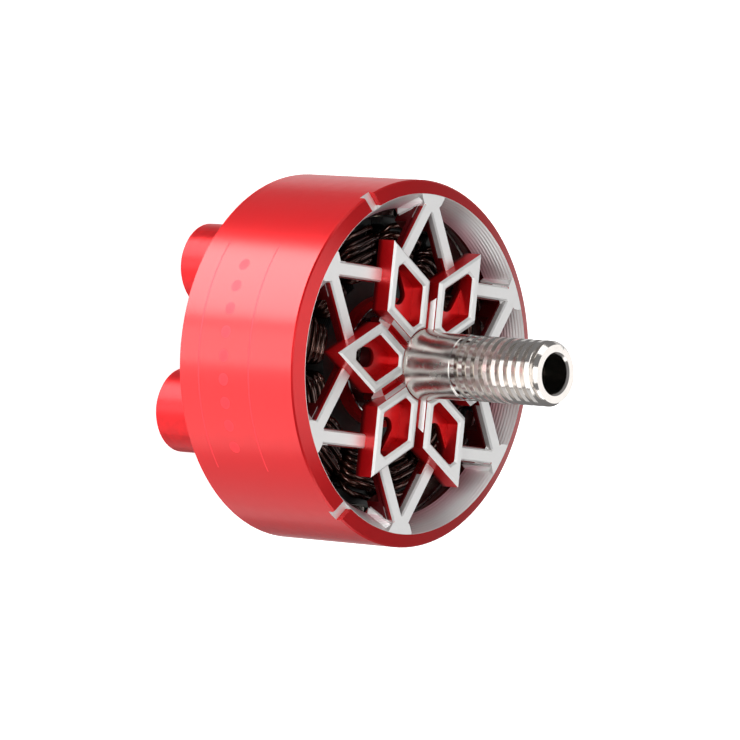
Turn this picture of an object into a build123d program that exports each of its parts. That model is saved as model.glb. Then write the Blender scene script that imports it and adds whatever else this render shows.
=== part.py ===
from build123d import *
import os
from math import atan, cos, degrees, radians, sin, sqrt, tan

# Brushless outrunner motor, 22 mm stator, 12 slots and 14 poles.
# Origin: centre of the mounting face, at the feet of the four legs. +Z runs along the shaft to its tip.
# All sizes are in millimetres.

# ---------------------------------------------------------------- overall
bell_radius = 14.0
bell_rear_z = 6.0
rim_z = 17.8                  # front face of the bell's rim
petal_z = 18.88               # front face of the six petals, where the propeller sits
shaft_tip_z = 31.3
rotor_rest_angle = 6.0        # the rotor is parked this far round from the legs' square

# ---------------------------------------------------------------- mounting base
mount_pcd = 16.0
mount_hole_radius = 1.25      # M3 tapping size
leg_radius = 3.25
leg_angle = 45.0
leg_chamfer = 0.25
plate_radius = 10.4
plate_bottom_z = 3.6
plate_top_z = 5.0
plate_window_count = 4
plate_window_inner = 6.7
plate_window_outer = 9.2
plate_window_half_angle = 17.0
plate_window_corner = 0.6
tube_radius = 5.0             # carries the stator core
tube_root_radius = 5.6
tube_root_z = 0.9
tube_top_z = 14.6
tube_bore_radius = 3.9        # between the two bearings
wire_outlet_width = 5.0
wire_outlet_angle = 180.0

# ---------------------------------------------------------------- bearings, 4 x 9 x 4 mm
bearing_outer_radius = 4.5
bearing_bore_radius = 2.0
bearing_width = 4.0
front_bearing_z = tube_top_z - bearing_width
rear_bearing_z = 1.6
outer_ring_inner_radius = 3.9
inner_ring_outer_radius = 2.6
ball_radius = 0.75
ball_pitch_radius = 3.25
ball_count = 7
race_clearance = 0.03
ring_chamfer = 0.15
cage_inner_radius = 2.95
cage_outer_radius = 3.55
cage_skirt = 0.45
cage_top = 1.05
shield_thickness = 0.2
shield_inner_radius = 2.75
shield_recess = 0.05

# ---------------------------------------------------------------- stator
slot_count = 12
stator_radius = 11.0
stator_bottom_z = 6.8
stator_height = 7.0
stator_hub_radius = 6.3
tooth_width = 2.2
tooth_tip_thickness = 0.8
tooth_tip_root_radius = 9.9
slot_opening = 1.5
stem_overlap = 0.4
tooth_shoulder = 0.25         # slant on the back of a tooth's tip
end_turn = 1.3
coil_inner_radius = 6.5
coil_outer_radius = 9.85
coil_side_inner = 0.5
coil_side_outer = 1.2
coil_liner = 0.05             # slot insulation between the iron and the wire
coil_corner = 0.45
coil_lean_radius = 10.7       # the outer turns lean out over the tooth tips at both ends
coil_lean_half_width = 1.9
coil_lean_height = 1.0
coil_lean_overlap = 0.2

# ---------------------------------------------------------------- rotor magnetics
magnet_count = 14
magnet_inner_radius = 11.2
magnet_outer_radius = 12.3
magnet_bottom_z = 6.4
magnet_top_z = 14.2
magnet_gap = 0.55
flux_ring_outer_radius = 13.2
flux_ring_top_z = 14.3

# ---------------------------------------------------------------- bell
shoulder_z = 14.4             # inside step behind the rim
cone_rim_radius = 12.94
cone_throat_radius = 11.8
cone_throat_z = 15.9
rim_edge_z = 17.4             # the rim's red face slopes back to here at its outer edge
rim_edge_break = 0.12
rear_chamfer = 0.2
spider_back_z = 15.6          # back of the rim nodes
petal_back_z = 17.2
bar_back_z = 16.9
bar_rib_length = 0.6          # a bar runs on this far under its petal's frame
pillar_length = 2.5           # deep root of each bar at the rim
hub_web_back_z = 16.4
hub_radius = 3.2
hub_back_z = 14.8
hub_bore_radius = 2.5
hub_countersink_radius = 3.0
edge_break = 0.16             # bright machined edge on the petals
bar_edge_break = 0.12
petal_count = 6
petal_tip_radius = 10.35
petal_gap = 1.1               # between neighbouring petals near the hub
frame_width = 0.75
pocket_depth = 1.18
pocket_inner_end = 3.3
pocket_outer_end = 8.3
pocket_corner = 0.3
vent_half_width = 0.77        # slot through the pocket's floor, open toward the petal's tip
vent_start_radius = 5.8
bevel_width = 0.3             # shallow bevel on the petals' edges beside the hub webs
bevel_drop = 0.15
bevel_end = 6.3
bar_apex_radius = 12.6
bar_half_width = 0.53
bar_foot_half_width = 0.62
bar_foot_z = 17.2
bar_stair_length = 0.42       # three low stairs where a bar meets its petal
bar_stair_half_width = 0.74
bar_stair_heights = (17.52, 17.4, 17.28)
bar_overlap = 0.3             # how far joined shapes of the spider run into each other
plate_near = (0.86, 0.62)     # corners of a node's plate, along and across its bars
plate_far = (0.55, 1.2)
plate_root = 0.6
node_web_radius = 11.0
node_web_start = 12.02        # the web between a node's bars slopes down from here
node_web_drop = 0.75
node_web_fillet = 0.3
ledge_start = (0.73, 17.75)   # sharp ledge down the cone beside each bar: along the bar, and height
ledge_fall = 1.41             # fall for each millimetre along the bar
ledge_length = 1.35           # measured along the bar
ledge_profile = ((0.45, -0.5), (1.1, -0.5), (1.1, -0.33), (0.78, 0.0),
                 (0.69, -0.16), (0.6, -0.02), (0.45, -0.02))
web_end_radius = 5.15
web_slope_start = 4.45
web_slope_drop = 0.6
web_end_fillet = 0.5
web_end_round_x = 5.45
web_overlap = 0.1
gutter_half_width = 0.22      # the web's top is a gutter between two machined slopes
gutter_lip_z = 17.9
gutter_slope_z = 18.6
notch_count = 3
notch_width = 1.1
notch_depth = 0.55            # its floor follows the rim's slope
notch_reach = 0.5

# ---------------------------------------------------------------- shaft and its fasteners
journal_radius = 2.0
shaft_bottom_z = 1.5
shaft_shoulder_z = 14.8
collar_radius = 2.5           # the propeller's 5 mm hole passes over the collar and the thread
collar_root_radius = 2.75
collar_flare_z = 19.9
thread_start_z = 23.4
thread_radius = 2.475         # M5 thread crest
thread_relief_length = 0.35
tip_chamfer = 0.45
tip_face_radius = 2.205
journal_chamfer = 0.15
seat_depth = 0.35             # the collar's taper inside the bell's countersink
flare_step = 0.07
flare_height = 0.5
bore_step = 0.3
tip_bore_radius = 1.5
tip_bore_bottom_z = 19.0
core_bore_radius = 1.0        # M2 tapped from the rear
tip_bore_chamfer = 0.15
front_shim_outer_radius = 2.9
rear_shim_outer_radius = 2.8
shim_bore_radius = 2.03
washer_thickness = 0.35
washer_outer_radius = 2.9
washer_bore_radius = 1.1
screw_head_radius = 1.9
screw_head_height = 0.95
screw_head_chamfer = 0.35
screw_length = 5.0
hex_socket_across_flats = 1.3
hex_socket_depth = 0.6

UP = (Align.CENTER, Align.CENTER, Align.MIN)
petal_half_angle = 180.0 / petal_count
slope = tan(radians(petal_half_angle))


def disc(radius, bottom, top):
    """Solid cylinder on the Z axis between two heights."""
    return Pos(0, 0, bottom) * Cylinder(radius, top - bottom, align=UP)


def tube(outer, inner, bottom, top):
    """Hollow cylinder on the Z axis between two heights."""
    return disc(outer, bottom, top) - disc(inner, bottom, top)


def turned(points):
    """Solid of revolution about Z from (radius, z) points."""
    outline = Polyline(*[(r, 0, z) for r, z in points], close=True)
    return revolve(make_face(outline), axis=Axis.Z)


def flat_face(points):
    """Flat face in the XY plane from (x, y) points."""
    return make_face(Polyline(*points, close=True))


def prism(points, bottom, top):
    """Straight-sided block standing on a flat outline."""
    return extrude(Pos(0, 0, bottom) * flat_face(points), top - bottom)


def edge_broken_prism(points, bottom, top, edge):
    """Block whose top edge is broken at 45 degrees all round."""
    crown = extrude(Pos(0, 0, top - edge) * flat_face(points), edge, taper=45)
    return prism(points, bottom, top - edge) + crown


def around(shape, count, start=0.0, step=None):
    """List of copies of a shape, evenly spaced about Z."""
    pitch = 360.0 / count if step is None else step
    return [Rot(0, 0, start + k * pitch) * shape for k in range(count)]


def save(shape, name):
    export_step(shape, os.path.join("parts", name + ".step"))


# ================================================================ base
def build_base():
    leg = Cylinder(leg_radius, plate_top_z, align=UP)
    leg = chamfer(leg.edges().group_by(Axis.Z)[0], leg_chamfer)
    leg = Pos(mount_pcd / 2, 0, 0) * leg
    body = disc(plate_radius, plate_bottom_z, plate_top_z)
    body += disc(tube_root_radius, tube_root_z, plate_top_z)
    body += disc(tube_radius, plate_top_z, tube_top_z)
    for one_leg in around(leg, 4, leg_angle):
        body += one_leg
    window = plate_window()
    for one_window in around(window, plate_window_count):
        body -= one_window
    hole = Pos(mount_pcd / 2, 0, 0) * Cylinder(mount_hole_radius, plate_top_z, align=UP)
    for one_hole in around(hole, 4, leg_angle):
        body -= one_hole
    body -= disc(tube_bore_radius, 0, tube_top_z)
    body -= disc(bearing_outer_radius, tube_root_z, rear_bearing_z + bearing_width)
    body -= disc(bearing_outer_radius, front_bearing_z, tube_top_z)
    outlet = Pos(plate_radius, 0, plate_bottom_z) * Box(
        2 * (plate_radius - plate_window_outer) + 1, wire_outlet_width, plate_top_z,
        align=(Align.CENTER, Align.CENTER, Align.MIN))
    return body - Rot(0, 0, wire_outlet_angle) * outlet


def plate_window():
    """Arc-shaped lightening window in the base plate, between two legs."""
    ring = tube(plate_window_outer, plate_window_inner, plate_bottom_z, plate_top_z)
    reach = 2 * plate_radius
    side = reach * tan(radians(plate_window_half_angle))
    wedge = prism([(0, 0), (reach, -side), (reach, side)], plate_bottom_z, plate_top_z)
    window = ring & wedge
    return fillet(window.edges().filter_by(Axis.Z), plate_window_corner)


# ================================================================ bearings
def race(bottom):
    """Ring-shaped groove that both bearing rings share, with its running clearance."""
    middle = bottom + bearing_width / 2
    circle = Pos(ball_pitch_radius, 0, 0) * Circle(ball_radius + race_clearance)
    return Pos(0, 0, middle) * revolve(Plane.XZ * circle, axis=Axis.Z)


def build_outer_ring(bottom):
    ring = tube(bearing_outer_radius, outer_ring_inner_radius, bottom, bottom + bearing_width)
    for end in (0, -1):
        rims = ring.edges().filter_by(GeomType.CIRCLE).group_by(Axis.Z)[end]
        ring = chamfer(rims.sort_by(SortBy.LENGTH)[-1], ring_chamfer)
    return ring - race(bottom)


def build_inner_ring(bottom):
    ring = tube(inner_ring_outer_radius, bearing_bore_radius, bottom, bottom + bearing_width)
    return ring - race(bottom)


def build_balls(bottom):
    ball = Pos(ball_pitch_radius, 0, bottom + bearing_width / 2) * Sphere(ball_radius)
    return Compound(children=around(ball, ball_count))


def build_cage(bottom):
    """Crown cage: a ring above the balls with open spherical pockets."""
    middle = bottom + bearing_width / 2
    cage = tube(cage_outer_radius, cage_inner_radius, middle - cage_skirt, middle + cage_top)
    pocket = Pos(ball_pitch_radius, 0, middle) * Sphere(ball_radius + race_clearance)
    for one_pocket in around(pocket, ball_count):
        cage -= one_pocket
    return cage


def build_shields(bottom):
    """The two thin steel shields of one bearing."""
    low = bottom + shield_recess
    high = bottom + bearing_width - shield_recess - shield_thickness
    washers = [tube(outer_ring_inner_radius, shield_inner_radius, z, z + shield_thickness)
               for z in (low, high)]
    return Compound(children=washers)


# ================================================================ stator
def build_stator_core():
    """Laminated core: a hub ring with twelve T-shaped teeth, bonded into one stack."""
    pitch = 360.0 / slot_count
    tip_half_angle = pitch / 2 - degrees(slot_opening / 2 / stator_radius)
    top = stator_bottom_z + stator_height
    core = tube(stator_hub_radius, tube_radius, stator_bottom_z, top)
    half = tooth_width / 2
    stem_end = stator_radius - tooth_tip_thickness
    root = stator_hub_radius - stem_overlap
    stem = prism([(root, -half), (stem_end, -half), (stem_end, half), (root, half)], stator_bottom_z, top)
    reach = 2 * stator_radius
    side = reach * tan(radians(tip_half_angle))
    wedge = prism([(0, 0), (reach, -side), (reach, side)], stator_bottom_z, top)
    edge_y = stem_end * tan(radians(tip_half_angle))
    shoe_x = stem_end + tooth_shoulder
    shoe_y = edge_y + 2 * tooth_shoulder
    shoe = prism([(tooth_tip_root_radius, -half), (shoe_x, -shoe_y), (reach, -shoe_y),
                  (reach, shoe_y), (shoe_x, shoe_y), (tooth_tip_root_radius, half)],
                 stator_bottom_z, top)
    tip = shoe & wedge & disc(stator_radius, stator_bottom_z, top)
    tooth = stem + tip
    for one_tooth in around(tooth, slot_count):
        core += one_tooth
    return core


def build_coil():
    """One concentrated coil on the tooth that lies along +X."""
    inner = tooth_width / 2 + coil_side_inner
    outer = tooth_width / 2 + coil_side_outer
    outline = [(coil_inner_radius, -inner), (coil_outer_radius, -outer),
               (coil_outer_radius, outer), (coil_inner_radius, inner)]
    low = stator_bottom_z - end_turn
    high = stator_bottom_z + stator_height + end_turn
    block = prism(outline, low, high)
    rounded = block.edges().group_by(Axis.Z)[0] + block.edges().group_by(Axis.Z)[-1]
    long_edges = [e for e in rounded if abs(e.center().Y) > inner / 2]
    block = fillet(long_edges, coil_corner)
    half = tooth_width / 2 + coil_liner
    opening = prism([(coil_inner_radius - 1, -half), (coil_outer_radius + 1, -half),
                     (coil_outer_radius + 1, half), (coil_inner_radius - 1, half)],
                    stator_bottom_z - coil_liner, stator_bottom_z + stator_height + coil_liner)
    coil = block - opening
    stack_top = stator_bottom_z + stator_height
    root_x = coil_outer_radius - coil_lean_overlap
    root_y = outer - coil_lean_overlap
    lean = [(root_x, -root_y), (coil_lean_radius, -coil_lean_half_width),
            (coil_lean_radius, coil_lean_half_width), (root_x, root_y)]
    coil += prism(lean, stack_top + coil_liner, stack_top + coil_lean_height)
    coil += prism(lean, stator_bottom_z - coil_lean_height, stator_bottom_z - coil_liner)
    return coil


def build_phase(first_tooth):
    """Four coils of one phase: two neighbouring teeth, and the two opposite them."""
    coil = build_coil()
    pitch = 360.0 / slot_count
    teeth = (first_tooth, first_tooth + 1, first_tooth + 6, first_tooth + 7)
    return Compound(children=[Rot(0, 0, tooth * pitch) * coil for tooth in teeth])


# ================================================================ rotor
def build_flux_ring():
    return tube(flux_ring_outer_radius, magnet_outer_radius, bell_rear_z, flux_ring_top_z)


def build_magnets(first):
    """Every other magnet of the ring, so that the two groups alternate north and south."""
    pitch = 360.0 / magnet_count
    half_angle = pitch / 2 - degrees(magnet_gap / 2 / magnet_inner_radius)
    ring = tube(magnet_outer_radius, magnet_inner_radius, magnet_bottom_z, magnet_top_z)
    reach = 2 * magnet_outer_radius
    side = reach * tan(radians(half_angle))
    wedge = prism([(0, 0), (reach, -side), (reach, side)], magnet_bottom_z, magnet_top_z)
    magnet = ring & wedge
    start = rotor_rest_angle + first * pitch
    return Compound(children=around(magnet, magnet_count // 2, start))


def petal_outline():
    """Kite-shaped petal along +X: sides at 30 degrees to its middle line."""
    inner_tip = petal_gap / 2 / sin(radians(petal_half_angle))
    corner_x = (petal_tip_radius + inner_tip) / 2
    corner_y = (corner_x - inner_tip) * slope
    return [(inner_tip, 0), (corner_x, -corner_y), (petal_tip_radius, 0), (corner_x, corner_y)]


def pocket_outline(inset):
    """Six-sided pocket inside a petal, this far in from the petal's sides."""
    inner_tip = (petal_gap / 2 + inset) / sin(radians(petal_half_angle))
    outer_tip = petal_tip_radius - inset / sin(radians(petal_half_angle))
    corner_x = (outer_tip + inner_tip) / 2
    corner_y = (corner_x - inner_tip) * slope
    grow = frame_width - inset
    inner_x = pocket_inner_end - grow
    outer_x = pocket_outer_end + grow
    inner_y = (inner_x - inner_tip) * slope
    outer_y = (outer_tip - outer_x) * slope
    return [(inner_x, -inner_y), (corner_x, -corner_y), (outer_x, -outer_y),
            (outer_x, outer_y), (corner_x, corner_y), (inner_x, inner_y)]


def build_petal():
    return edge_broken_prism(petal_outline(), petal_back_z, petal_z, edge_break)


def build_pocket():
    """Cutter for a petal's pocket, with its vent hole and broken top edge."""
    floor_z = petal_z - pocket_depth
    well = prism(pocket_outline(frame_width), floor_z, petal_z)
    well = fillet(well.edges().filter_by(Axis.Z), pocket_corner)
    mouth = loft([Pos(0, 0, petal_z - edge_break) * flat_face(pocket_outline(frame_width)),
                  Pos(0, 0, petal_z) * flat_face(pocket_outline(frame_width - edge_break))])
    vent = disc(vent_half_width, spider_back_z, petal_z)
    vent = Pos(vent_start_radius, 0, 0) * vent + prism(
        [(vent_start_radius, -vent_half_width), (petal_tip_radius, -vent_half_width),
         (petal_tip_radius, vent_half_width), (vent_start_radius, vent_half_width)], spider_back_z, petal_z)
    walls = prism(pocket_outline(frame_width), spider_back_z, petal_z)
    walls = fillet(walls.edges().filter_by(Axis.Z), pocket_corner)
    return well + mouth + (vent & walls)


def build_slot_bevel():
    """Cutter for the shallow bevels on the two petal edges that face each other beside the hub."""
    half = petal_gap / 2
    low = petal_z - bevel_drop
    outline = [(-half - bevel_width, petal_z), (-half, low), (half, low), (half + bevel_width, petal_z)]
    outline = Polyline(*[(0, y, z) for y, z in outline], close=True)
    return extrude(make_face(outline), bevel_end, dir=(1, 0, 0))


def bar_point(along, across, side):
    """Point in the plane, measured from a bar's outer end along the bar and out from its middle line."""
    angle = radians(petal_half_angle)
    x = bar_apex_radius - along * cos(angle) + across * sin(angle)
    y = along * sin(angle) + across * cos(angle)
    return (x, side * y)


def bar_length():
    """From the bars' meeting point to the petal's side, which a bar meets square."""
    angle = radians(petal_half_angle)
    edge_distance = petal_tip_radius * sin(angle)
    return bar_apex_radius - edge_distance


def bar_outline(start, end, half_width, side):
    """Corners of a stretch of bar, counter-clockwise on both sides of the node."""
    corners = [bar_point(start, -half_width, side), bar_point(end, -half_width, side),
               bar_point(end, half_width, side), bar_point(start, half_width, side)]
    return corners[::-side]


def build_node():
    """Rim node along +X: a plate at the rim and the two bars that run in to the petals."""
    length = bar_length()
    step_start = length - bar_stair_length * len(bar_stair_heights)
    node = build_node_web()
    for side in (-1, 1):
        rib_end = length + bar_rib_length
        root = -bar_overlap
        node += prism(bar_outline(root, rib_end, bar_foot_half_width, side), bar_back_z, bar_foot_z)
        node += prism(bar_outline(root, pillar_length, bar_half_width, side), spider_back_z, bar_foot_z)
        node += edge_broken_prism(bar_outline(root, step_start, bar_half_width, side), bar_foot_z, rim_z,
                                  bar_edge_break)
        for k, stair_z in enumerate(bar_stair_heights):
            start = step_start + k * bar_stair_length
            stair = bar_outline(start, length + bar_overlap, bar_stair_half_width, side)
            node += prism(stair, bar_foot_z, stair_z)
        node += build_ledge(side)
    near_x, near_y = bar_point(*plate_near, 1)
    far_x, far_y = bar_point(*plate_far, 1)
    rim_x = cone_rim_radius + bar_overlap
    node += prism([(near_x - plate_root, 0), (near_x, -near_y), (far_x, -far_y), (rim_x, -far_y),
                   (rim_x, far_y), (far_x, far_y), (near_x, near_y)], spider_back_z, rim_z)
    return node & disc(cone_rim_radius, spider_back_z, rim_z)


def build_node_web():
    """Web that fills the inside corner between a node's two bars and slopes down toward the hub."""
    width = (bar_apex_radius - node_web_radius) * slope
    web = prism([(node_web_radius, -width), (bar_apex_radius, 0), (node_web_radius, width)],
                spider_back_z, rim_z)
    tilt = degrees(atan(node_web_drop / (node_web_start - node_web_radius)))
    reach = 2 * (node_web_start - node_web_radius)
    cut = Pos(node_web_start, 0, rim_z) * Rot(0, -tilt, 0) * Box(
        2 * reach, 2 * reach, reach, align=(Align.MAX, Align.CENTER, Align.MIN))
    end_round = Pos(node_web_radius, 0, spider_back_z) * Cylinder(
        node_web_fillet, rim_z - spider_back_z, align=UP)
    return web - cut - end_round


def build_ledge(side):
    """Sharp ledge that runs down the rim's cone beside a bar, with a narrow groove between the two."""
    along, height = ledge_start
    start = bar_point(along, 0, side)
    ahead = bar_point(along + 1, 0, side)
    out = Vector(*bar_point(along, 1, side)) - Vector(*start)
    down = Vector(ahead[0] - start[0], ahead[1] - start[1], -ledge_fall)
    frame = Plane(origin=(start[0], start[1], height), x_dir=down, z_dir=down.cross(out) * -side)
    outline = [(0, -side * across, rise) for across, rise in ledge_profile]
    backward = bar_overlap * down.length
    reach = ledge_length * down.length + backward
    ledge = extrude(make_face(Polyline(*outline, close=True)), reach, dir=(1, 0, 0))
    return frame * Pos(-backward, 0, 0) * ledge


def build_hub_web():
    """Low web between two petals beside the hub, ending in a slope down to the window."""
    half = petal_gap / 2
    section = [(half + web_overlap, hub_web_back_z), (half + web_overlap, gutter_slope_z),
               (half, gutter_slope_z), (gutter_half_width, gutter_lip_z), (gutter_half_width, rim_z)]
    section += [(-y, z) for y, z in reversed(section)]
    outline = Polyline(*[(hub_bore_radius, y, z) for y, z in section], close=True)
    web = extrude(make_face(outline), web_end_radius - hub_bore_radius, dir=(1, 0, 0))
    run = web_end_radius - web_slope_start
    tilt = degrees(atan(web_slope_drop / run))
    reach = 4 * run
    cut = Pos(web_slope_start, 0, rim_z) * Rot(0, tilt, 0) * Box(
        reach, reach, reach, align=(Align.MIN, Align.CENTER, Align.MIN))
    end_round = Pos(web_end_round_x, 0, hub_web_back_z) * Cylinder(
        web_end_fillet, petal_z - hub_web_back_z, align=UP)
    return web - cut - end_round


def build_notch():
    """Cutter for one notch across the rim; its floor slopes back with the rim's face."""
    wide = bell_radius - cone_rim_radius
    tilt = degrees(atan((rim_z - rim_edge_z) / wide))
    long = 2 * (wide + notch_reach)
    block = Box(long, notch_width, long, align=(Align.MIN, Align.CENTER, Align.MIN))
    return Pos(cone_rim_radius, 0, rim_z - notch_depth) * Rot(0, tilt, 0) * Pos(-notch_reach, 0, 0) * block


def build_bell():
    """One-piece bell: wall, turned cone inside the rim, and the open six-petal front."""
    ring = turned([(flux_ring_outer_radius, bell_rear_z),
                   (bell_radius - rear_chamfer, bell_rear_z),
                   (bell_radius, bell_rear_z + rear_chamfer),
                   (bell_radius, rim_edge_z - rim_edge_break),
                   (bell_radius - rim_edge_break, rim_edge_z),
                   (cone_rim_radius, rim_z),
                   (cone_throat_radius, cone_throat_z),
                   (cone_throat_radius, spider_back_z),
                   (magnet_outer_radius, shoulder_z),
                   (flux_ring_outer_radius, shoulder_z)])
    half_pitch = petal_half_angle
    bell = ring + disc(hub_radius, hub_back_z, rim_z)
    node = build_node()
    hub_web = build_hub_web()
    petal = build_petal()
    for k in range(petal_count):
        at = Rot(0, 0, k * 2 * half_pitch)
        between = Rot(0, 0, half_pitch + k * 2 * half_pitch)
        bell += between * node
        bell += between * hub_web
        bell += at * petal
    pocket = build_pocket()
    for one_pocket in around(pocket, petal_count):
        bell -= one_pocket
    bevel = build_slot_bevel()
    for one_bevel in around(bevel, petal_count, half_pitch):
        bell -= one_bevel
    bell -= disc(hub_bore_radius, hub_back_z, petal_z)
    depth = hub_countersink_radius - hub_bore_radius
    bell -= turned([(0, petal_z - depth), (hub_bore_radius, petal_z - depth),
                    (hub_countersink_radius, petal_z), (0, petal_z)])
    for one_notch in around(build_notch(), notch_count):
        bell -= one_notch
    return Rot(0, 0, rotor_rest_angle) * bell


def build_shaft():
    return turned([(core_bore_radius, shaft_bottom_z),
                   (journal_radius - journal_chamfer, shaft_bottom_z),
                   (journal_radius, shaft_bottom_z + journal_chamfer),
                   (journal_radius, shaft_shoulder_z),
                   (hub_bore_radius, shaft_shoulder_z),
                   (hub_bore_radius, petal_z - seat_depth),
                   (collar_root_radius, petal_z),
                   (collar_root_radius - flare_step, petal_z + flare_height),
                   (collar_radius, collar_flare_z),
                   (collar_radius, thread_start_z - thread_relief_length),
                   (thread_radius, thread_start_z),
                   (thread_radius, shaft_tip_z - tip_chamfer),
                   (tip_face_radius, shaft_tip_z),
                   (tip_bore_radius + tip_bore_chamfer, shaft_tip_z),
                   (tip_bore_radius, shaft_tip_z - tip_bore_chamfer),
                   (tip_bore_radius, tip_bore_bottom_z),
                   (core_bore_radius, tip_bore_bottom_z - bore_step)])


def build_screw():
    """M2 button-head screw that draws the shaft against the rear bearing."""
    top = shaft_bottom_z - washer_thickness
    head = disc(screw_head_radius, top - screw_head_height, top)
    head = chamfer(head.edges().group_by(Axis.Z)[0], screw_head_chamfer)
    socket = Pos(0, 0, top - screw_head_height) * extrude(
        RegularPolygon(hex_socket_across_flats / sqrt(3), 6), hex_socket_depth)
    return head + disc(core_bore_radius, top, top + screw_length) - socket


os.makedirs("parts", exist_ok=True)

save(build_base(), "base")
save(build_stator_core(), "stator_core")
save(build_phase(0), "phase_a_windings")
save(build_phase(2), "phase_b_windings")
save(build_phase(4), "phase_c_windings")
for place, bearing_z in (("front", front_bearing_z), ("rear", rear_bearing_z)):
    save(build_outer_ring(bearing_z), place + "_bearing_outer_ring")
    save(build_inner_ring(bearing_z), place + "_bearing_inner_ring")
    save(build_balls(bearing_z), place + "_bearing_balls")
    save(build_cage(bearing_z), place + "_bearing_cage")
    save(build_shields(bearing_z), place + "_bearing_shields")
save(build_bell(), "bell")
save(build_flux_ring(), "flux_ring")
save(build_magnets(0), "north_magnets")
save(build_magnets(1), "south_magnets")
save(build_shaft(), "shaft")
save(tube(front_shim_outer_radius, shim_bore_radius, tube_top_z, hub_back_z), "front_shim")
save(tube(rear_shim_outer_radius, shim_bore_radius, shaft_bottom_z, rear_bearing_z), "rear_shim")
save(tube(washer_outer_radius, washer_bore_radius, shaft_bottom_z - washer_thickness, shaft_bottom_z),
     "retaining_washer")
save(build_screw(), "retaining_screw")
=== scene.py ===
"""Looks of a brushless outrunner motor: materials, wire, thread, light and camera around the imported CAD."""
import random
from math import cos, pi, radians, sin, tan

import bpy
import numpy as np
from mathutils import Matrix, Vector


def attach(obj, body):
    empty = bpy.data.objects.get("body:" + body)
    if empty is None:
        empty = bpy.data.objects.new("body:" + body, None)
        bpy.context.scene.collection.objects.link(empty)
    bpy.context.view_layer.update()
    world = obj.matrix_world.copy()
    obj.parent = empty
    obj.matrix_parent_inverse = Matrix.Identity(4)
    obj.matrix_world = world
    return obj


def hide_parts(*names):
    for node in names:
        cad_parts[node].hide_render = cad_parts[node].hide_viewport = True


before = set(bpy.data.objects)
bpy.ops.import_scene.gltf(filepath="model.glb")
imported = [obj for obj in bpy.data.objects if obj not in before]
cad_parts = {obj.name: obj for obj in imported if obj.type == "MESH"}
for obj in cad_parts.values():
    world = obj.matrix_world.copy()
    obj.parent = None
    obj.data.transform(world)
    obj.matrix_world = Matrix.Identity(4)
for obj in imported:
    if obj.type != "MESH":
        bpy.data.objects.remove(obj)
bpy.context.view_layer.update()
MM = 0.001

# ================================================================ node helpers
class Tree:
    """Small helper that builds a node material without repeating the node API."""

    def __init__(self, name):
        self.material = bpy.data.materials.new(name)
        self.material.use_nodes = True
        self.nodes = self.material.node_tree.nodes
        self.links = self.material.node_tree.links
        self.nodes.clear()
        self.output = self.nodes.new("ShaderNodeOutputMaterial")
        self.shader = self.nodes.new("ShaderNodeBsdfPrincipled")
        self.links.new(self.shader.outputs[0], self.output.inputs[0])
        self.coords = self.nodes.new("ShaderNodeTexCoord")
        self.point = self.coords.outputs["Object"]

    def set(self, **values):
        for name, value in values.items():
            socket = self.shader.inputs[name.replace("_", " ")]
            if isinstance(value, bpy.types.NodeSocket):
                self.links.new(value, socket)
            else:
                socket.default_value = value
        return self

    def feed(self, socket, value):
        if isinstance(value, bpy.types.NodeSocket):
            self.links.new(value, socket)
        else:
            socket.default_value = value

    def math(self, operation, *values, clamp=False):
        node = self.nodes.new("ShaderNodeMath")
        node.operation = operation
        node.use_clamp = clamp
        for socket, value in zip(node.inputs, values):
            self.feed(socket, value)
        return node.outputs[0]

    def split(self, vector):
        node = self.nodes.new("ShaderNodeSeparateXYZ")
        self.feed(node.inputs[0], vector)
        return node.outputs

    def join(self, x, y, z):
        node = self.nodes.new("ShaderNodeCombineXYZ")
        for socket, value in zip(node.inputs, (x, y, z)):
            self.feed(socket, value)
        return node.outputs[0]

    def band(self, value, low, high, soft):
        """1 where low < value < high, with soft edges."""
        return self.math("MULTIPLY", self.above(value, low, soft), self.below(value, high, soft))

    def above(self, value, level, soft):
        """1 where value is over the level, 0 under it, with a soft edge."""
        return self.ramp(value, level - soft, level + soft)

    def below(self, value, level, soft):
        return self.ramp(value, level + soft, level - soft)

    def ramp(self, value, start, end, low=0.0, high=1.0):
        node = self.nodes.new("ShaderNodeMapRange")
        for socket, number in zip(node.inputs, (value, start, end, low, high)):
            self.feed(socket, number)
        return node.outputs[0]

    def mix(self, factor, first, second):
        node = self.nodes.new("ShaderNodeMix")
        node.data_type = "RGBA"
        self.feed(node.inputs[0], factor)
        self.feed(node.inputs[6], first)
        self.feed(node.inputs[7], second)
        return node.outputs[2]

    def blend(self, factor, first, second):
        node = self.nodes.new("ShaderNodeMix")
        self.feed(node.inputs[0], factor)
        self.feed(node.inputs[2], first)
        self.feed(node.inputs[3], second)
        return node.outputs[0]

    def noise(self, scale, vector=None, detail=2.0):
        node = self.nodes.new("ShaderNodeTexNoise")
        self.feed(node.inputs["Vector"], self.point if vector is None else vector)
        node.inputs["Scale"].default_value = scale
        node.inputs["Detail"].default_value = detail
        return node.outputs[0]

    def bump(self, height, distance, strength=1.0):
        node = self.nodes.new("ShaderNodeBump")
        node.inputs["Distance"].default_value = distance
        node.inputs["Strength"].default_value = strength
        self.feed(node.inputs["Height"], height)
        return node.outputs[0]

    def both(self, *masks):
        result = masks[0]
        for mask in masks[1:]:
            result = self.math("MULTIPLY", result, mask)
        return result

    def either(self, *masks):
        result = masks[0]
        for mask in masks[1:]:
            result = self.math("MAXIMUM", result, mask)
        return result


def rgba(r, g, b):
    return (r, g, b, 1.0)


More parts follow.
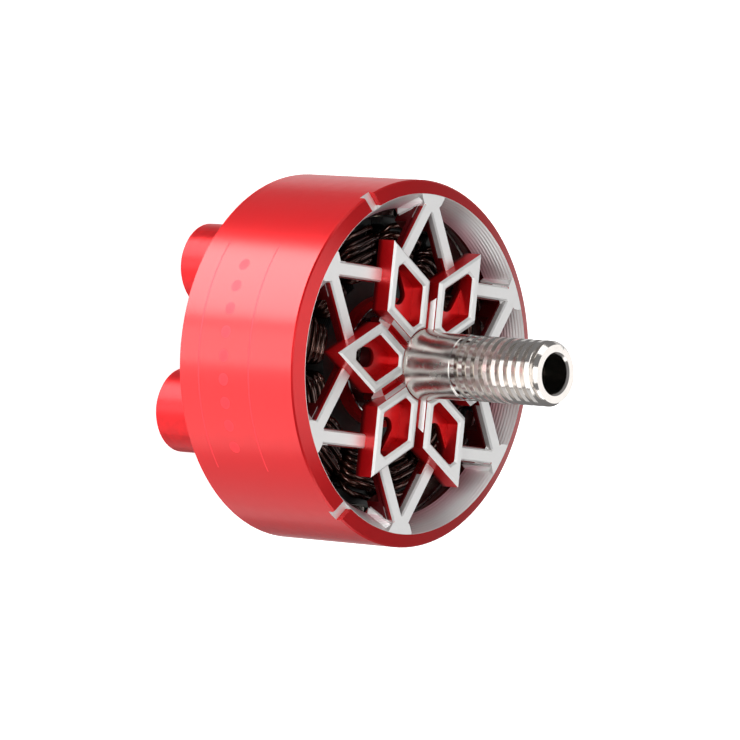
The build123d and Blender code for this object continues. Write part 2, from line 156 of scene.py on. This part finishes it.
# Colours, and sizes in millimetres of the bell's features that the masks below find.
RED = rgba(0.60, 0.006, 0.009)
SILVER = rgba(0.80, 0.795, 0.785)
# Painted reflection: pinkish silver standing in for the red bell reflected in the inner part of the turned
# cone.
PAINTED_RED_REFLECTION = rgba(0.80, 0.45, 0.50)
# Painted shade: dark red given to the bell's inner walls below the rim, in place of the rim's shadow.
PAINTED_SHADE_RED = rgba(0.13, 0.002, 0.004)
MARK_RED = rgba(0.78, 0.045, 0.055)
ROTOR_REST = radians(6.0)     # the rotor's angle at rest
SECTOR = pi / 3               # six petals
SLANT_ALONG = 0.5             # petal edges and bars run at 30 degrees to the sector lines
SLANT_BESIDE = 0.866
PETAL_TIP_RADIUS = 10.35
BAR_APEX_RADIUS = 12.6
RIM_Z = 17.8
CONE_RIM_RADIUS = 12.94
CONE_THROAT_RADIUS = 11.8
INNER_EDGE_RADIUS = 12.96     # everything inside the rim's red face
RIM_SLOPE = 0.4255
PETAL_FACE_Z = 18.7
BAR_FACE_Z = 17.585
GUTTER_LOW_Z = 18.22
GUTTER_HIGH_Z = 18.62
TURNING_PITCH = 0.12
MARK_RADIUS = 14.0
MARK_MIDDLE = radians(190.0)
MARK_HALF_LENGTH = 9.2
MARK_LINE_Z = (8.0, 13.0)
MARK_LINE_WIDTH = 0.14
DOT_PITCH = 1.8
DOT_HEIGHT = 10.57
DOT_RADIUS = 0.48
DOT_ROW_HALF_LENGTH = 8.1


def polar(tree):
    """Radius and angle about the shaft, and height along it, in millimetres."""
    x, y, z = tree.split(tree.point)
    squares = tree.math("ADD", tree.math("MULTIPLY", x, x), tree.math("MULTIPLY", y, y))
    radius = tree.math("SQRT", squares)
    angle = tree.math("ARCTAN2", y, x)
    return tree.math("MULTIPLY", radius, 1000.0), angle, tree.math("MULTIPLY", z, 1000.0)


def folded(tree, radius, angle, centre):
    """Coordinates along and beside the nearest of the six sector lines, mirrored onto one side."""
    turn = tree.math("ADD", angle, SECTOR / 2 - centre + 4 * pi)
    turn = tree.math("SUBTRACT", tree.math("MODULO", turn, SECTOR), SECTOR / 2)
    along = tree.math("MULTIPLY", radius, tree.math("COSINE", turn))
    beside = tree.math("ABSOLUTE", tree.math("MULTIPLY", radius, tree.math("SINE", turn)))
    return along, beside


def engraved_marks(t, radius, angle, z):
    """Plain laser-marked pattern on the bell's side: two fine lines with a row of dots between them."""
    turn = t.math("SUBTRACT", t.math("MODULO", t.math("ADD", angle, 2 * pi), 2 * pi), MARK_MIDDLE)
    arc = t.math("MULTIPLY", turn, MARK_RADIUS)
    on_side = t.above(radius, MARK_RADIUS - 0.025, 0.005)
    rings = t.either(*[t.band(z, low, low + MARK_LINE_WIDTH, 0.02) for low in MARK_LINE_Z])
    lines = t.both(rings, t.band(arc, -MARK_HALF_LENGTH, MARK_HALF_LENGTH, 0.03))
    shifted = t.math("ADD", arc, 10 * DOT_PITCH + DOT_PITCH / 2)
    cell = t.math("SUBTRACT", t.math("MODULO", shifted, DOT_PITCH), DOT_PITCH / 2)
    rise = t.math("SUBTRACT", z, DOT_HEIGHT)
    squares = t.math("ADD", t.math("MULTIPLY", cell, cell), t.math("MULTIPLY", rise, rise))
    row = t.band(arc, -DOT_ROW_HALF_LENGTH, DOT_ROW_HALF_LENGTH, 0.01)
    dots = t.both(t.below(t.math("SQRT", squares), DOT_RADIUS, 0.02), row)
    return t.both(on_side, t.either(lines, dots))


def slanted(t, along, beside, offset):
    """Distance from a line at 30 degrees to the sector line."""
    sideways = t.math("MULTIPLY", beside, SLANT_BESIDE)
    return t.math("ADD", t.math("MULTIPLY_ADD", along, SLANT_ALONG, -offset * SLANT_ALONG), sideways)


def bare_metal(t, radius, angle, z, up):
    """Masks of the faces machined after anodising: the turned cone by itself, and all of them."""
    past_petal = slanted(t, *folded(t, radius, angle, ROTOR_REST), PETAL_TIP_RADIUS)
    across = slanted(t, *folded(t, radius, angle, ROTOR_REST + SECTOR / 2), BAR_APEX_RADIUS)
    facing = t.above(up, 0.5, 0.05)
    inside_rim = t.below(radius, INNER_EDGE_RADIUS, 0.005)
    beside_hub = t.below(past_petal, -0.04, 0.02)
    petals = t.both(facing, t.above(z, PETAL_FACE_Z, 0.01))
    bars = t.both(facing, inside_rim, t.above(past_petal, 0.0, 0.02), t.above(z, BAR_FACE_Z, 0.015),
                  t.below(z, 17.925, 0.025))
    ledges = t.both(t.band(across, 0.55, 1.2, 0.01), t.above(radius, 11.15, 0.05), inside_rim,
                    t.above(z, 15.85, 0.05), t.above(up, 0.15, 0.05), t.above(past_petal, 0.95, 0.05))
    corners = t.both(inside_rim, t.above(radius, 12.025, 0.025), t.above(z, 16.95, 0.05),
                     t.above(across, 0.525, 0.025))
    inner_sides = t.both(inside_rim, t.below(across, 0.04, 0.02), t.above(past_petal, 1.04, 0.02),
                         t.above(z, 17.255, 0.015))
    web_slope = t.both(beside_hub, t.band(up, 0.5, 0.9, 0.02), t.above(radius, 4.35, 0.05),
                       t.band(z, 17.0, 17.85, 0.02))
    gutter = t.both(beside_hub, t.band(up, 0.3, 0.55, 0.02), t.band(z, GUTTER_LOW_Z, GUTTER_HIGH_Z, 0.02))
    cone = t.both(t.band(up, 0.40, 0.62, 0.03), t.above(radius, CONE_THROAT_RADIUS - 0.01, 0.01),
                  t.below(radius, INNER_EDGE_RADIUS - 0.005, 0.005), t.above(z, 15.75, 0.05))
    rim_face = t.math("MULTIPLY_ADD", radius, -RIM_SLOPE, RIM_Z + CONE_RIM_RADIUS * RIM_SLOPE)
    rim_depth = t.math("SUBTRACT", rim_face, z)
    notch = t.both(t.band(up, 0.86, 0.97, 0.02), t.above(radius, 12.62, 0.02),
                   t.band(rim_depth, 0.45, 0.65, 0.02))
    return cone, t.either(petals, bars, ledges, corners, inner_sides, web_slope, gutter, cone, notch)


def bell_material():
    """Red anodised aluminium, with the bare faces that were machined after anodising; painted shade darkens
    the inner walls below the rim, and a painted red reflection tints the inner cone.
    """
    t = Tree("bell_red_and_machined")
    radius, angle, z = polar(t)
    up = t.split(t.coords.outputs["Normal"])[2]
    cone, silver = bare_metal(t, radius, angle, z, up)
    inside_rim = t.below(radius, INNER_EDGE_RADIUS, 0.005)
    turning = t.math("SINE", t.math("MULTIPLY", radius, 2 * pi / TURNING_PITCH))
    silver_rough = t.ramp(t.noise(5200.0), 0.3, 0.7, 0.36, 0.46)
    red_rough = t.ramp(t.noise(900.0, detail=3.0), 0.3, 0.7, 0.34, 0.40)
    # Silver for the machined faces, turning to a painted pink reflection of the red bell towards the cone's
    # throat.
    silver_with_painted_reflection = t.mix(t.both(cone, t.ramp(radius, 12.5, CONE_THROAT_RADIUS)), SILVER, PAINTED_RED_REFLECTION)
    marks = engraved_marks(t, radius, angle, z)
    # Painted shade: inner walls below the rim plane fade to a dark red, standing in for the rim's shadow on
    # them.
    painted_recess_shade = t.both(inside_rim, t.below(z, 17.505, 0.155))
    red_marks_and_painted_shade = t.mix(painted_recess_shade, t.mix(marks, RED, MARK_RED), PAINTED_SHADE_RED)
    dulled = t.math("MAXIMUM", silver, t.math("MULTIPLY", marks, 0.7))
    glossy = t.math("SUBTRACT", 0.8, dulled, clamp=True)
    blasted = t.both(t.noise(2600.0, detail=3.0), t.math("SUBTRACT", 1.0, silver), 0.45)
    height = t.math("ADD", t.math("MULTIPLY", turning, cone), blasted)
    t.set(Base_Color=t.mix(silver, red_marks_and_painted_shade, silver_with_painted_reflection), Metallic=0.62,
          Roughness=t.blend(silver, red_rough, silver_rough), Specular_IOR_Level=0.0,
          Normal=t.bump(height, 0.012 * MM, 0.7), Coat_Weight=glossy, Coat_Roughness=0.22)
    return t.material


def plain_metal(name, colour, rough_low, rough_high, scale=1500.0, metallic=1.0):
    t = Tree(name)
    grain = t.noise(scale, detail=3.0)
    dark = tuple(c * 0.86 for c in colour[:3]) + (1.0,)
    t.set(Base_Color=t.mix(t.ramp(grain, 0.35, 0.65), dark, colour), Metallic=metallic,
          Roughness=t.ramp(grain, 0.3, 0.7, rough_low, rough_high), Normal=t.bump(grain, 0.004 * MM))
    return t.material


def plastic(name, colour, roughness):
    t = Tree(name)
    grain = t.noise(1300.0, detail=3.0)
    dark = tuple(c * 0.8 for c in colour[:3]) + (1.0,)
    t.set(Base_Color=t.mix(grain, dark, colour),
          Roughness=t.ramp(grain, 0.3, 0.7, roughness - 0.05, roughness + 0.05))
    return t.material


def stator_material():
    """Black coated lamination stack: thin sheets show as fine lines round the sides."""
    t = Tree("stator_lamination")
    z = t.split(t.point)[2]
    sheet = t.math("SINE", t.math("MULTIPLY", z, 2 * pi / (0.2 * MM)))
    grain = t.noise(1200.0)
    t.set(Base_Color=t.mix(grain, rgba(0.006, 0.007, 0.007), rgba(0.014, 0.016, 0.015)), Metallic=0.0,
          Roughness=0.42, Normal=t.bump(sheet, 0.02 * MM))
    return t.material


def wire_material():
    """Copper seen through dark brown enamel."""
    t = Tree("enamelled_wire")
    tone = t.noise(420.0, detail=2.0)
    colour = t.mix(t.ramp(tone, 0.35, 0.65), rgba(0.030, 0.009, 0.006), rgba(0.11, 0.036, 0.020))
    t.set(Base_Color=colour, Metallic=0.9, Roughness=0.24, Coat_Weight=1.0, Coat_Roughness=0.10)
    return t.material


def shaft_material():
    """Turned shaft, slightly warm in tone, and duller on the plain collar than on the thread."""
    t = Tree("polished_shaft")
    z = t.split(t.point)[2]
    marks = t.noise(9000.0, vector=t.join(0.0, 0.0, z), detail=3.0)
    grain = t.noise(1600.0, detail=3.0)
    polish = t.ramp(grain, 0.3, 0.7, 0.12, 0.16)
    collar = t.ramp(z, 23.3 * MM, 22.2 * MM, 0.0, 0.12)
    t.set(Base_Color=t.mix(grain, rgba(0.78, 0.735, 0.69), rgba(0.87, 0.83, 0.79)), Metallic=1.0,
          Roughness=t.math("ADD", polish, collar), Normal=t.bump(marks, 0.002 * MM))
    return t.material


def assign(node, material):
    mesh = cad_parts[node].data
    mesh.materials.clear()
    mesh.materials.append(material)


# ================================================================ visual pieces
def add_piece(name, points, faces, material, body, replaced, smooth_angle=35.0):
    """Mesh piece that takes the place of CAD nodes and moves with a body."""
    mesh = bpy.data.meshes.new(name)
    mesh.from_pydata([tuple(c * MM for c in p) for p in points], [], faces)
    mesh.materials.append(material)
    mesh.polygons.foreach_set("use_smooth", [True] * len(mesh.polygons))
    mesh.set_sharp_from_angle(angle=radians(smooth_angle))
    piece = bpy.data.objects.new(name, mesh)
    bpy.context.scene.collection.objects.link(piece)
    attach(piece, body)
    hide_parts(*replaced)
    return piece


SEGMENTS = 144
THREAD_PITCH = 0.8
THREAD_START = 23.0
THREAD_CREST = 2.475
THREAD_DEPTH = 0.33
THREAD_CREST_HALF = 0.19
THREAD_ROOT_HALF = 0.07
THREAD_FADE = 0.2             # the thread runs out over this length
SHAFT_TIP = 31.3
TIP_CHAMFER_START = 30.85
TIP_CHAMFER_SLOPE = 0.6
ROWS_PER_TURN = 10
ROW_GAP = 0.0004              # least spacing of the rows where the helix meets a level end


def thread_radius(angle, z):
    """Radius of a right-hand thread: flat crest, sloping flanks, narrow root."""
    phase = (z / THREAD_PITCH - angle / (2 * pi)) % 1.0
    across = abs(phase - 0.5) * THREAD_PITCH
    flank = THREAD_PITCH / 2 - THREAD_CREST_HALF - THREAD_ROOT_HALF
    cut = min(1.0, max(0.0, (across - THREAD_CREST_HALF) / flank))
    fade = min(1.0, max(0.0, (z - THREAD_START) / THREAD_FADE))
    chamfer = THREAD_CREST - TIP_CHAMFER_SLOPE * max(0.0, z - TIP_CHAMFER_START)
    return min(THREAD_CREST - THREAD_DEPTH * cut * fade, chamfer)


def thread_rows():
    """Heights of the thread's rows at angle 0, one on each edge of the profile; they follow the helix."""
    root_edge = THREAD_PITCH / 2 - THREAD_ROOT_HALF
    half = [0.0, THREAD_CREST_HALF / 2, THREAD_CREST_HALF, (THREAD_CREST_HALF + root_edge) / 2, root_edge]
    profile = [-value for value in reversed(half[1:])] + half + [THREAD_PITCH / 2]
    first = int(THREAD_START / THREAD_PITCH) - 1
    last = int(SHAFT_TIP / THREAD_PITCH) + 1
    return [(turn + 0.5) * THREAD_PITCH + value for turn in range(first, last) for value in profile]


def thread_seam(first_row, count):
    """Faces that join the last column of the thread to the first one, a full turn further up the helix."""
    start = [(first_row + i) * SEGMENTS for i in range(count)]
    end = [index + SEGMENTS - 1 for index in start]
    faces = [(end[0], start[i], start[i + 1]) for i in range(ROWS_PER_TURN)]
    for i in range(count - 1):
        if i < count - 1 - ROWS_PER_TURN:
            faces.append((end[i], start[i + ROWS_PER_TURN], start[i + 1 + ROWS_PER_TURN], end[i + 1]))
        else:
            faces.append((end[i], start[-1], end[i + 1]))
    return faces


def ring(radius, z):
    """Level ring of points about the shaft's axis."""
    turns = [2 * pi * k / SEGMENTS for k in range(SEGMENTS)]
    return [(radius * cos(turn), radius * sin(turn), z) for turn in turns]


def build_shaft_piece():
    before = [(1.0, 1.5), (1.85, 1.5), (2.0, 1.65), (2.0, 14.8), (2.5, 14.8), (2.5, 18.35),
              (2.745, 18.68), (2.75, 18.74), (2.72, 18.85), (2.68, 19.1), (2.61, 19.4), (2.55, 19.7),
              (2.51, 20.0), (2.50, 20.4), (2.50, 22.92), (THREAD_CREST, 22.96)]
    after = [(1.65, SHAFT_TIP), (1.5, 31.15), (1.5, 19.0), (1.0, 18.7)]
    threaded = thread_rows()
    points = []
    for radius, z in before:
        points += ring(radius, z)
    for i, level in enumerate(threaded):
        lowest = THREAD_START + i * ROW_GAP
        highest = SHAFT_TIP - (len(threaded) - i) * ROW_GAP
        for k in range(SEGMENTS):
            angle = 2 * pi * k / SEGMENTS
            z = min(highest, max(lowest, level + THREAD_PITCH * k / SEGMENTS))
            radius = thread_radius(angle, z)
            points.append((radius * cos(angle), radius * sin(angle), z))
    for radius, z in after:
        points += ring(radius, z)
    total = len(points) // SEGMENTS
    faces = []
    for i in range(total):
        low, high = i * SEGMENTS, (i + 1) % total * SEGMENTS
        in_thread = len(before) <= i < len(before) + len(threaded) - 1
        for k in range(SEGMENTS - 1 if in_thread else SEGMENTS):
            after_k = (k + 1) % SEGMENTS
            faces.append((low + k, low + after_k, high + after_k, high + k))
    faces += thread_seam(len(before), len(threaded))
    return add_piece("shaft_turned", points, faces, shaft_material(), "rotor",
                     ["shaft"], 30.0)


WIRE_RADIUS = 0.23
WIRE_SIDES = 8
WIRE_PITCH = 0.475
LAYER_RISE = 0.40
STACK_MIDDLE = 10.3           # height of the stator's middle
COIL_FIRST = 6.8
COIL_LAST = 9.62


def loop_point(turn, half_width, half_height, corner):
    """Point on a rounded rectangle, sideways and up; one turn starts in the middle of the lower side."""
    straight_w = 2 * (half_width - corner)
    straight_h = 2 * (half_height - corner)
    arc = corner * pi / 2
    length = 2 * straight_w + 2 * straight_h + 4 * arc
    s = (turn % 1.0) * length + straight_w / 2
    x, y, heading = -(half_width - corner), -half_height, 0.0
    for straight in (straight_w, straight_h, straight_w, straight_h):
        if s <= straight:
            return x + cos(heading) * s, y + sin(heading) * s
        x, y, s = x + cos(heading) * straight, y + sin(heading) * straight, s - straight
        if s <= arc:
            a = s / corner
            return (x + corner * (cos(heading) * sin(a) - sin(heading) * (1 - cos(a))),
                    y + corner * (sin(heading) * sin(a) + cos(heading) * (1 - cos(a))))
        x += corner * (cos(heading) - sin(heading))
        y += corner * (sin(heading) + cos(heading))
        heading, s = heading + pi / 2, s - arc
    return x, y


def coil_path(jitter):
    """Centre line of one coil: layers of turns wound out and back along the tooth."""
    layers = ((0, COIL_FIRST, COIL_LAST), (1, COIL_LAST - 0.1, 7.7), (2, 8.95, COIL_LAST - 0.05))
    path = []
    steps = 40
    for layer, start, end in layers:
        turns = round(abs(end - start) / WIRE_PITCH)
        half_width = 1.15 + WIRE_RADIUS + LAYER_RISE * layer
        half_height = 3.55 + WIRE_RADIUS + LAYER_RISE * layer
        corner = 0.62 + 0.36 * layer
        wobble = [jitter.uniform(-0.035, 0.035) for _ in range(turns + 1)]
        for k in range(turns * steps + 1):
            turn = k / steps
            whole = min(int(turn), turns)
            side, height = loop_point(turn, half_width, half_height, corner)
            advance = whole + min(1.0, max(0.0, (turn - whole - 0.82) / 0.18))
            radius = start + (end - start) * advance / turns
            rise = min(1.0, max(0.0, (abs(height) - 3.35) / 0.7))
            spread = max(0.0, (radius - COIL_FIRST) / (COIL_LAST - COIL_FIRST))
            radius += (0.95 * spread ** 1.4 + wobble[whole]) * rise * rise * (3 - 2 * rise)
            path.append((radius, side, STACK_MIDDLE + height))
    return path


def tube_mesh(path, turn, points, faces):
    """Round tube along a path, closed at both ends and turned about the shaft."""
    base = len(points)
    line = np.array(path)
    ahead = np.roll(line, -1, axis=0) - np.roll(line, 1, axis=0)
    ahead[0] = line[1] - line[0]
    ahead[-1] = line[-1] - line[-2]
    ahead /= np.linalg.norm(ahead, axis=1)[:, None]
    first = np.cross(ahead, (1.0, 0.0, 0.0))
    first /= np.linalg.norm(first, axis=1)[:, None]
    second = np.cross(ahead, first)
    about = np.array(((cos(turn), -sin(turn), 0.0), (sin(turn), cos(turn), 0.0), (0.0, 0.0, 1.0)))
    for k in range(len(line)):
        for j in range(WIRE_SIDES):
            a = 2 * pi * j / WIRE_SIDES
            points.append(tuple(about @ (line[k] + WIRE_RADIUS * (first[k] * cos(a) + second[k] * sin(a)))))
    for k in range(len(line) - 1):
        for j in range(WIRE_SIDES):
            j2 = (j + 1) % WIRE_SIDES
            faces.append((base + k * WIRE_SIDES + j, base + k * WIRE_SIDES + j2,
                          base + (k + 1) * WIRE_SIDES + j2, base + (k + 1) * WIRE_SIDES + j))
    last = base + (len(line) - 1) * WIRE_SIDES
    faces.append(tuple(base + j for j in reversed(range(WIRE_SIDES))))
    faces.append(tuple(last + j for j in range(WIRE_SIDES)))


def build_wire_pieces():
    material = wire_material()
    jitter = random.Random(12)
    for phase, first_tooth in (("a", 0), ("b", 2), ("c", 4)):
        points, faces = [], []
        for tooth in (first_tooth, first_tooth + 1, first_tooth + 6, first_tooth + 7):
            tube_mesh(coil_path(jitter), tooth * pi / 6, points, faces)
        add_piece(f"phase_{phase}_wire", points, faces, material, "stator_side",
                  [f"phase_{phase}_windings"], 60.0)


# ================================================================ stage, light, camera
LIT_HEIGHT = 13 * MM          # the lights point at this height on the motor's axis
FLOOR_RADIUS = 4.0
WORLD_GREY = rgba(0.20, 0.20, 0.205)
TOWARD = Vector((-0.75477, -0.11007, 0.64669))      # from the motor to the camera
PICTURE_UP = Vector((-0.19051, 0.98011, -0.05553))
PICTURE_RIGHT = PICTURE_UP.cross(TOWARD)


def build_camera():
    data = bpy.data.cameras.new("camera")
    data.sensor_width = 36.0
    data.lens = 322.5
    data.clip_end = 20.0
    camera = bpy.data.objects.new("camera", data)
    bpy.context.scene.collection.objects.link(camera)
    camera.location = Vector((-0.38187, -0.05640, 0.34044))
    axes = Matrix((PICTURE_RIGHT, PICTURE_UP, TOWARD)).transposed()
    camera.rotation_euler = axes.to_euler()
    bpy.context.scene.camera = camera


def softbox(name, direction, distance, half_wide, half_high, radiance):
    """Rectangular light seen from the motor in a direction given as picture right, up and toward.

    Its half sizes are the angles it spans from the motor, in degrees.
    """
    centre = Vector((0, 0, LIT_HEIGHT))
    way = PICTURE_RIGHT * direction[0] + PICTURE_UP * direction[1] + TOWARD * direction[2]
    way.normalize()
    level = PICTURE_UP if abs(way.dot(PICTURE_UP)) < 0.9 else TOWARD
    across = level.cross(way).normalized()
    along = way.cross(across)
    width, height = 2 * distance * tan(radians(half_wide)), 2 * distance * tan(radians(half_high))
    data = bpy.data.lights.new(name, "AREA")
    data.shape = "RECTANGLE"
    data.size = width
    data.size_y = height
    data.energy = radiance * pi * width * height
    light = bpy.data.objects.new(name, data)
    bpy.context.scene.collection.objects.link(light)
    light.location = centre + way * distance
    light.rotation_euler = Matrix((across, along, way)).transposed().to_euler()
    light.visible_camera = False
    return light


def build_stage():
    floor_mat = Tree("pale_floor")
    floor_mat.set(Base_Color=rgba(0.9, 0.9, 0.9), Roughness=0.7, Emission_Color=rgba(1, 1, 1),
                  Emission_Strength=0.85)
    bpy.ops.mesh.primitive_circle_add(vertices=96, radius=FLOOR_RADIUS, fill_type="NGON")
    floor = bpy.context.object
    floor.name = "floor"
    floor.data.materials.append(floor_mat.material)
    floor.visible_glossy = False
    floor.visible_shadow = False
    world = bpy.data.worlds.new("studio")
    bpy.context.scene.world = world
    world.use_nodes = True
    background = world.node_tree.nodes["Background"]
    background.inputs["Color"].default_value = WORLD_GREY
    background.inputs["Strength"].default_value = 1.0


def light_only(light, piece, state):
    """Let a light reach only one piece (INCLUDE), or everything but that piece (EXCLUDE)."""
    receivers = bpy.data.collections.new(light.name + "_receivers")
    receivers.objects.link(piece)
    receivers.collection_objects[0].light_linking.link_state = state
    light.light_linking.receiver_collection = receivers


def build_lights(shaft):
    strong = (softbox("key_upper_left", (-0.81, 0.58, 0.03), 0.35, 24, 16, 7.4),
              softbox("left", (-0.975, 0.12, 0.14), 0.36, 18, 9, 3.8),
              softbox("left_front", (-0.465, 0.125, 0.867), 0.45, 30, 8, 8.0))
    for light in strong:
        light_only(light, shaft, "EXCLUDE")
    light_only(softbox("shaft_left", (-0.93, 0.25, 0.14), 0.36, 22, 16, 1.25), shaft, "INCLUDE")
    light_only(softbox("shaft_front", (-0.465, -0.12, 0.867), 0.45, 30, 26, 1.25), shaft, "INCLUDE")
    softbox("lower_left", (-0.88, -0.30, -0.06), 0.36, 26, 20, 1.5)
    softbox("lower_left_behind", (-0.50, -0.80, -0.45), 0.36, 24, 22, 0.45)
    softbox("right", (0.985, -0.06, 0.08), 0.35, 25, 15, 1.0)
    softbox("right_front", (0.80, -0.02, 0.60), 0.40, 17, 25, 1.3)
    softbox("above", (0.05, 1.0, 0.2), 0.40, 22, 18, 1.4)
    softbox("below", (0.0, -1.0, 0.22), 0.40, 24, 20, 1.5)
    softbox("behind", (0.3, 0.2, -1.0), 0.5, 26, 26, 0.4)
    softbox("beside_camera", (-0.2, 0.0, 1.0), 0.6, 18, 18, 0.45)


def assign_materials():
    """Node materials for every CAD node that stays visible, and for the hidden ones behind the pieces."""
    steel = plain_metal("bearing_steel", rgba(0.70, 0.69, 0.68), 0.10, 0.18)
    shield = plain_metal("shield_steel", rgba(0.58, 0.57, 0.55), 0.20, 0.30)
    shim = plain_metal("shim_steel", rgba(0.52, 0.51, 0.49), 0.22, 0.32)
    plated = plain_metal("plated_steel", rgba(0.55, 0.55, 0.56), 0.24, 0.34)
    magnet = plain_metal("nickel_plate", rgba(0.66, 0.63, 0.58), 0.16, 0.26)
    black_steel = plain_metal("black_oxide", rgba(0.035, 0.035, 0.038), 0.30, 0.42)
    red = plain_metal("base_red", RED, 0.30, 0.36, metallic=0.65)
    nylon = plastic("nylon_cage", rgba(0.32, 0.16, 0.06), 0.45)
    assign("bell", bell_material())
    assign("base", red)
    assign("stator_core", stator_material())
    assign("flux_ring", plated)
    assign("north_magnets", magnet)
    assign("south_magnets", magnet)
    assign("shaft", shaft_material())
    assign("retaining_screw", black_steel)
    for name in ("front_shim", "rear_shim", "retaining_washer"):
        assign(name, shim)
    wire = wire_material()
    for phase in "abc":
        assign(f"phase_{phase}_windings", wire)
    for place in ("front", "rear"):
        assign(f"{place}_bearing_outer_ring", steel)
        assign(f"{place}_bearing_inner_ring", steel)
        assign(f"{place}_bearing_balls", steel)
        assign(f"{place}_bearing_shields", shield)
        assign(f"{place}_bearing_cage", nylon)


bpy.context.scene.view_settings.view_transform = "Standard"
build_camera()
build_stage()
assign_materials()
build_lights(build_shaft_piece())
build_wire_pieces()
